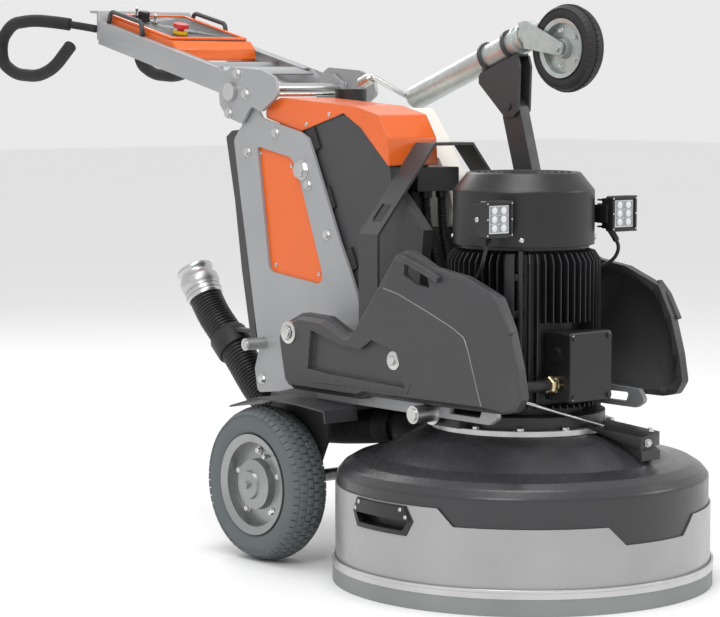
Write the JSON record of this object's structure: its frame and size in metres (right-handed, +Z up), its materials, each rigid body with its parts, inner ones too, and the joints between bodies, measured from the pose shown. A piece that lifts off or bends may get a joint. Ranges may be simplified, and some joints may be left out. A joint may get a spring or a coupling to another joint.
{
  "type": "concrete grinder",
  "caption": "Large planetary concrete floor grinder: round shrouded head with upright motor, swing-over side weights, wheeled chassis, tilting handle and jockey wheel.",
  "frame": {"origin": "on the floor under the middle of the machine's outline", "axes": "+Z up, the grinding head is at -Y, the operator's handle at +Y, the operator's left is +X"},
  "size_m": [0.8579, 2.2658, 1.3077],
  "materials": {
    "silver_paint": "satin powder coat",
    "band_metal": "brushed, lightly scuffed",
    "dark_paint": "fine-textured dark grey powder coat",
    "weight_paint": "dark grey textured coat over cast iron",
    "dark_plastic": "moulded, fine grain",
    "black_plastic": "moulded, satin",
    "orange_plastic": "moulded, semi-gloss",
    "white_plastic": "translucent tank plastic",
    "black_iron": "black paint on casting",
    "zinc_steel": "zinc plated",
    "galvanised": "hot-dip galvanised",
    "grey_rubber": "matt grey rubber",
    "black_rubber": "matt black rubber",
    "grey_tyre": "matt grey turf tyre",
    "black_tyre": "black solid tyre",
    "cast_aluminium": "as cast and machined",
    "red_plastic": "glossy red"
  },
  "bodies": {
    "chassis": {"side_plates": "silver_paint", "window_panels": "orange_plastic", "chassis_bolts": "zinc_steel", "cabinet": "dark_plastic", "hood": "orange_plastic", "water_tank": "white_plastic", "electrics": "black_plastic", "cable_conduits": "black_rubber", "roll_hoop": "dark_paint", "fork_arms": "silver_paint", "chassis_pins": "zinc_steel", "undercarriage": "dark_paint", "rear_cover": "dark_plastic", "dust_hose": "black_rubber", "hose_coupling": "cast_aluminium", "neck_tubes": "zinc_steel"},
    "head": {"shroud_band": "band_metal", "band_handles": "black_plastic", "head_dome": "dark_paint", "gearbox_housing": "cast_aluminium", "head_bolts": "zinc_steel", "motor_frame": "black_iron", "motor_base": "black_iron", "fan_cover": "dark_paint", "terminal_box": "dark_plastic", "motor_cable": "black_rubber", "front_bracket": "dark_paint", "jockey_mast": "dark_paint"},
    "skirt": {"skirt_rubber": "grey_rubber", "skirt_clamp_ring": "cast_aluminium"},
    "rotor": {"motor_rotor": "zinc_steel"},
    "carrier": {"planet_carrier": "cast_aluminium"},
    "disc_1": {"grinding_disc_1": "zinc_steel"},
    "disc_2": {"grinding_disc_2": "zinc_steel"},
    "disc_3": {"grinding_disc_3": "zinc_steel"},
    "right_weight": {"right_weight": "weight_paint"},
    "left_weight": {"left_weight": "weight_paint"},
    "right_wheel": {"right_rim": "zinc_steel", "right_tyre": "grey_tyre"},
    "left_wheel": {"left_rim": "zinc_steel", "left_tyre": "grey_tyre"},
    "handle": {"handle_frame": "silver_paint", "pivot_plates": "silver_paint", "handle_bolts": "zinc_steel", "foam_grips": "black_rubber", "console": "orange_plastic"},
    "estop": {"estop_button": "red_plastic"},
    "knob": {"speed_knob": "black_plastic"},
    "toggle_one": {"toggle_1": "zinc_steel"},
    "toggle_two": {"toggle_2": "zinc_steel"},
    "cap": {"filler_cap": "black_plastic"},
    "right_lamp_unit": {"right_lamp": "black_iron"},
    "left_lamp_unit": {"left_lamp": "black_iron"},
    "jockey_arm": {"jockey_bracket": "dark_paint", "jockey_outer_tube": "galvanised"},
    "crank": {"jockey_crank": "zinc_steel"},
    "jockey_slider": {"jockey_inner_tube": "galvanised"},
    "jockey_swivel": {"jockey_fork": "galvanised"},
    "jockey_wheel": {"jockey_rim": "galvanised", "jockey_tyre": "black_tyre"}
  },
  "joints": [
    {"name": "head_float", "type": "hinge", "parent": "chassis", "child": "head", "pos_m": [0, -0.6588, 0.389], "axis": [1, 0, 0], "range_deg": [-0.4, 2]},
    {"name": "skirt_float", "type": "slide", "parent": "head", "child": "skirt", "axis": [0, 0, 1], "range_m": [0, 0.02]},
    {"name": "carrier_spin", "type": "hinge", "parent": "head", "child": "carrier", "pos_m": [0, -0.7038, 0.11], "axis": [0, 0, 1], "continuous": true},
    {"name": "rotor_spin", "type": "hinge", "parent": "head", "child": "rotor", "pos_m": [0, -0.7038, 0.6], "axis": [0, 0, 1], "continuous": true},
    {"name": "disc_1_spin", "type": "hinge", "parent": "carrier", "child": "disc_1", "pos_m": [0, -0.4488, 0.034], "axis": [0, 0, 1], "continuous": true},
    {"name": "disc_2_spin", "type": "hinge", "parent": "carrier", "child": "disc_2", "pos_m": [-0.22084, -0.8313, 0.034], "axis": [0, 0, 1], "continuous": true},
    {"name": "disc_3_spin", "type": "hinge", "parent": "carrier", "child": "disc_3", "pos_m": [0.22084, -0.8313, 0.034], "axis": [0, 0, 1], "continuous": true},
    {"name": "right_weight_swing", "type": "hinge", "parent": "chassis", "child": "right_weight", "pos_m": [-0.251, -0.2038, 0.534], "axis": [-1, 0, 0], "range_deg": [0, 110]},
    {"name": "left_weight_swing", "type": "hinge", "parent": "chassis", "child": "left_weight", "pos_m": [0.251, -0.2038, 0.534], "axis": [-1, 0, 0], "range_deg": [0, 110]},
    {"name": "right_wheel_spin", "type": "hinge", "parent": "chassis", "child": "right_wheel", "pos_m": [-0.31, -0.1638, 0.18], "axis": [1, 0, 0], "continuous": true},
    {"name": "left_wheel_spin", "type": "hinge", "parent": "chassis", "child": "left_wheel", "pos_m": [0.31, -0.1638, 0.18], "axis": [1, 0, 0], "continuous": true},
    {"name": "handle_tilt", "type": "hinge", "parent": "chassis", "child": "handle", "pos_m": [0, 0.1672, 1.09], "axis": [1, 0, 0], "range_deg": [-20, 25]},
    {"name": "estop_press", "type": "slide", "parent": "handle", "child": "estop", "axis": [0, 0.23, -0.9732], "range_m": [0, 0.006], "stiffness_N_per_m": 800},
    {"name": "speed_knob_turn", "type": "hinge", "parent": "handle", "child": "knob", "pos_m": [-0.05, 0.6972, 1.27633], "axis": [0, -0.23, 0.9732], "range_deg": [-140, 140]},
    {"name": "toggle_1_flip", "type": "hinge", "parent": "handle", "child": "toggle_one", "pos_m": [-0.05, 0.64751, 1.26765], "axis": [1, 0, 0], "range_deg": [-15, 15]},
    {"name": "toggle_2_flip", "type": "hinge", "parent": "handle", "child": "toggle_two", "pos_m": [-0.05, 0.73251, 1.28774], "axis": [1, 0, 0], "range_deg": [-15, 15]},
    {"name": "filler_cap_lift", "type": "slide", "parent": "chassis", "child": "cap", "axis": [0, 0, 1], "range_m": [0, 0.05]},
    {"name": "right_lamp_tilt", "type": "hinge", "parent": "head", "child": "right_lamp_unit", "pos_m": [-0.191, -0.8008, 0.82], "axis": [1, 0, 0], "range_deg": [-30, 30]},
    {"name": "left_lamp_tilt", "type": "hinge", "parent": "head", "child": "left_lamp_unit", "pos_m": [0.191, -0.8008, 0.82], "axis": [1, 0, 0], "range_deg": [-30, 30]},
    {"name": "jockey_arm_tilt", "type": "hinge", "parent": "head", "child": "jockey_arm", "pos_m": [0.19, -0.4728, 1.056], "axis": [1, 0, 0], "range_deg": [-2, 35]},
    {"name": "crank_turn", "type": "hinge", "parent": "jockey_arm", "child": "crank", "pos_m": [0.19, -0.1238, 1.076], "axis": [0, 0.9394, -0.3427], "range_deg": [0, 200]},
    {"name": "jack_extend", "type": "slide", "parent": "jockey_arm", "child": "jockey_slider", "axis": [0, -0.9394, 0.3427], "range_m": [0, 0.15]},
    {"name": "castor_swivel", "type": "hinge", "parent": "jockey_slider", "child": "jockey_swivel", "pos_m": [0.19, -0.5048, 1.215], "axis": [0, -0.9394, 0.3427], "continuous": true},
    {"name": "jockey_wheel_spin", "type": "hinge", "parent": "jockey_swivel", "child": "jockey_wheel", "pos_m": [0.19, -0.6468, 1.19], "axis": [1, 0, 0], "continuous": true}
  ],
  "couplings": [
    {"joint": "rotor_spin", "follows": "carrier_spin", "ratio": 6},
    {"joint": "disc_1_spin", "follows": "carrier_spin", "ratio": -4},
    {"joint": "disc_2_spin", "follows": "carrier_spin", "ratio": -4},
    {"joint": "disc_3_spin", "follows": "carrier_spin", "ratio": -4}
  ]
}
